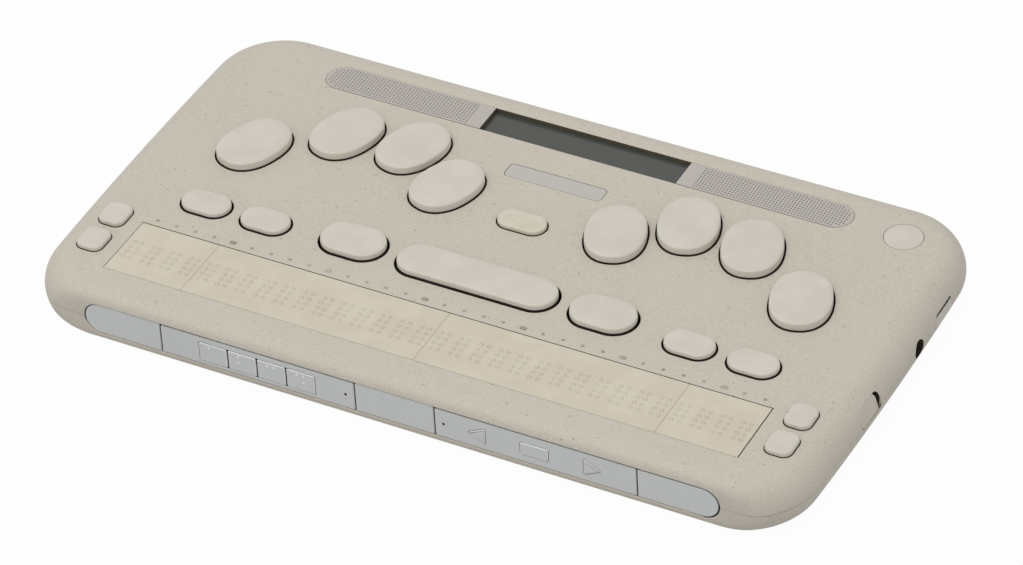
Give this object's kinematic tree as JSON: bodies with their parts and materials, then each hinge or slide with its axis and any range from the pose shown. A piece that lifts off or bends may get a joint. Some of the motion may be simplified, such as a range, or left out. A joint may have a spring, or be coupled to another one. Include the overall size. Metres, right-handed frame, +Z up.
{
  "type": "braille notetaker",
  "caption": "Slim keyboard computer for blind users: oval dot keys and a space bar above a braille display, scroll keys, a strip of front buttons, ports and a slide lock.",
  "frame": {"origin": "on the resting surface, under the middle of the casing", "axes": "+X to the user's right, +Y away from the user, +Z up"},
  "size_m": [0.2518, 0.1394, 0.0217],
  "materials": {
    "casing": "fine textured warm grey",
    "key": "smooth satin light grey",
    "pill": "smooth satin cream grey",
    "cap": "smooth cream",
    "strip": "satin silver",
    "screen": "clear dark window",
    "board": "green solder resist",
    "battery": "wrapped pack",
    "speaker": "dark moulded",
    "socket": "plated",
    "jack": "dark moulded",
    "foot": "soft rubber",
    "screw": "zinc plated"
  },
  "bodies": {
    "casing": {"top_shell": "casing", "bottom_shell": "casing", "braille_module_1": "cap", "braille_module_2": "cap", "braille_module_3": "cap", "braille_module_4": "cap", "left_trim": "strip", "application_panel": "strip", "centre_trim": "strip", "media_panel": "strip", "right_trim": "strip", "name_plate": "strip", "corner_disc": "key", "grille_left": "strip", "grille_right": "strip", "lcd_module": "screen", "speaker_left": "speaker", "speaker_right": "speaker", "main_board": "board", "key_board": "board", "front_key_board": "board", "battery_pack": "battery", "usb_socket": "socket", "audio_jack": "jack", "foot_front_left": "foot", "foot_front_right": "foot", "foot_back_left": "foot", "foot_back_right": "foot", "case_screw_1": "screw", "case_screw_2": "screw", "case_screw_3": "screw", "case_screw_4": "screw"},
    "dot_key_1": {"dot_key_1": "key"},
    "dot_key_2": {"dot_key_2": "key"},
    "dot_key_3": {"dot_key_3": "key"},
    "dot_key_4": {"dot_key_4": "key"},
    "dot_key_5": {"dot_key_5": "key"},
    "dot_key_6": {"dot_key_6": "key"},
    "dot_key_7": {"dot_key_7": "key"},
    "dot_key_8": {"dot_key_8": "key"},
    "space_bar": {"space_bar": "key"},
    "control_key": {"control_key": "key"},
    "alt_key": {"alt_key": "key"},
    "function_key_1": {"function_key_1": "key"},
    "function_key_2": {"function_key_2": "key"},
    "function_key_3": {"function_key_3": "key"},
    "function_key_4": {"function_key_4": "key"},
    "power_key": {"power_key": "pill"},
    "scroll_key_left_up": {"scroll_key_left_up": "key"},
    "scroll_key_left_down": {"scroll_key_left_down": "key"},
    "scroll_key_right_up": {"scroll_key_right_up": "key"},
    "scroll_key_right_down": {"scroll_key_right_down": "key"},
    "application_key_1": {"application_key_1": "strip"},
    "application_key_2": {"application_key_2": "strip"},
    "application_key_3": {"application_key_3": "strip"},
    "application_key_4": {"application_key_4": "strip"},
    "previous_key": {"previous_key": "strip"},
    "play_key": {"play_key": "strip"},
    "next_key": {"next_key": "strip"},
    "lock_switch": {"lock_switch": "key"}
  },
  "joints": [
    {"name": "dot_key_1_press", "type": "slide", "parent": "casing", "child": "dot_key_1", "axis": [0, 0, -1], "range_m": [0, 0.0012], "stiffness_N_per_m": 500, "springref_m": -0.0006},
    {"name": "dot_key_2_press", "type": "slide", "parent": "casing", "child": "dot_key_2", "axis": [0, 0, -1], "range_m": [0, 0.0012], "stiffness_N_per_m": 500, "springref_m": -0.0006},
    {"name": "dot_key_3_press", "type": "slide", "parent": "casing", "child": "dot_key_3", "axis": [0, 0, -1], "range_m": [0, 0.0012], "stiffness_N_per_m": 500, "springref_m": -0.0006},
    {"name": "dot_key_4_press", "type": "slide", "parent": "casing", "child": "dot_key_4", "axis": [0, 0, -1], "range_m": [0, 0.0012], "stiffness_N_per_m": 500, "springref_m": -0.0006},
    {"name": "dot_key_5_press", "type": "slide", "parent": "casing", "child": "dot_key_5", "axis": [0, 0, -1], "range_m": [0, 0.0012], "stiffness_N_per_m": 500, "springref_m": -0.0006},
    {"name": "dot_key_6_press", "type": "slide", "parent": "casing", "child": "dot_key_6", "axis": [0, 0, -1], "range_m": [0, 0.0012], "stiffness_N_per_m": 500, "springref_m": -0.0006},
    {"name": "dot_key_7_press", "type": "slide", "parent": "casing", "child": "dot_key_7", "axis": [0, 0, -1], "range_m": [0, 0.0012], "stiffness_N_per_m": 500, "springref_m": -0.0006},
    {"name": "dot_key_8_press", "type": "slide", "parent": "casing", "child": "dot_key_8", "axis": [0, 0, -1], "range_m": [0, 0.0012], "stiffness_N_per_m": 500, "springref_m": -0.0006},
    {"name": "space_bar_press", "type": "slide", "parent": "casing", "child": "space_bar", "axis": [0, 0, -1], "range_m": [0, 0.0012], "stiffness_N_per_m": 500, "springref_m": -0.0006},
    {"name": "control_key_press", "type": "slide", "parent": "casing", "child": "control_key", "axis": [0, 0, -1], "range_m": [0, 0.0012], "stiffness_N_per_m": 500, "springref_m": -0.0006},
    {"name": "alt_key_press", "type": "slide", "parent": "casing", "child": "alt_key", "axis": [0, 0, -1], "range_m": [0, 0.0012], "stiffness_N_per_m": 500, "springref_m": -0.0006},
    {"name": "function_key_1_press", "type": "slide", "parent": "casing", "child": "function_key_1", "axis": [0, 0, -1], "range_m": [0, 0.001], "stiffness_N_per_m": 500, "springref_m": -0.0006},
    {"name": "function_key_2_press", "type": "slide", "parent": "casing", "child": "function_key_2", "axis": [0, 0, -1], "range_m": [0, 0.001], "stiffness_N_per_m": 500, "springref_m": -0.0006},
    {"name": "function_key_3_press", "type": "slide", "parent": "casing", "child": "function_key_3", "axis": [0, 0, -1], "range_m": [0, 0.001], "stiffness_N_per_m": 500, "springref_m": -0.0006},
    {"name": "function_key_4_press", "type": "slide", "parent": "casing", "child": "function_key_4", "axis": [0, 0, -1], "range_m": [0, 0.001], "stiffness_N_per_m": 500, "springref_m": -0.0006},
    {"name": "power_key_press", "type": "slide", "parent": "casing", "child": "power_key", "axis": [0, 0, -1], "range_m": [0, 0.0006], "stiffness_N_per_m": 500, "springref_m": -0.0006},
    {"name": "scroll_key_left_up_press", "type": "slide", "parent": "casing", "child": "scroll_key_left_up", "axis": [0, 0, -1], "range_m": [0, 0.0008], "stiffness_N_per_m": 500, "springref_m": -0.0006},
    {"name": "scroll_key_left_down_press", "type": "slide", "parent": "casing", "child": "scroll_key_left_down", "axis": [0, 0, -1], "range_m": [0, 0.0008], "stiffness_N_per_m": 500, "springref_m": -0.0006},
    {"name": "scroll_key_right_up_press", "type": "slide", "parent": "casing", "child": "scroll_key_right_up", "axis": [0, 0, -1], "range_m": [0, 0.0008], "stiffness_N_per_m": 500, "springref_m": -0.0006},
    {"name": "scroll_key_right_down_press", "type": "slide", "parent": "casing", "child": "scroll_key_right_down", "axis": [0, 0, -1], "range_m": [0, 0.0008], "stiffness_N_per_m": 500, "springref_m": -0.0006},
    {"name": "application_key_1_press", "type": "slide", "parent": "casing", "child": "application_key_1", "axis": [0, 1, 0], "range_m": [0, 0.0006], "stiffness_N_per_m": 500, "springref_m": -0.0004},
    {"name": "application_key_2_press", "type": "slide", "parent": "casing", "child": "application_key_2", "axis": [0, 1, 0], "range_m": [0, 0.0006], "stiffness_N_per_m": 500, "springref_m": -0.0004},
    {"name": "application_key_3_press", "type": "slide", "parent": "casing", "child": "application_key_3", "axis": [0, 1, 0], "range_m": [0, 0.0006], "stiffness_N_per_m": 500, "springref_m": -0.0004},
    {"name": "application_key_4_press", "type": "slide", "parent": "casing", "child": "application_key_4", "axis": [0, 1, 0], "range_m": [0, 0.0006], "stiffness_N_per_m": 500, "springref_m": -0.0004},
    {"name": "previous_key_press", "type": "slide", "parent": "casing", "child": "previous_key", "axis": [0, 1, 0], "range_m": [0, 0.0006], "stiffness_N_per_m": 500, "springref_m": -0.0004},
    {"name": "play_key_press", "type": "slide", "parent": "casing", "child": "play_key", "axis": [0, 1, 0], "range_m": [0, 0.0006], "stiffness_N_per_m": 500, "springref_m": -0.0004},
    {"name": "next_key_press", "type": "slide", "parent": "casing", "child": "next_key", "axis": [0, 1, 0], "range_m": [0, 0.0006], "stiffness_N_per_m": 500, "springref_m": -0.0004},
    {"name": "lock_switch_slide", "type": "slide", "parent": "casing", "child": "lock_switch", "axis": [0, 1, 0], "range_m": [0, 0.0015]}
  ]
}
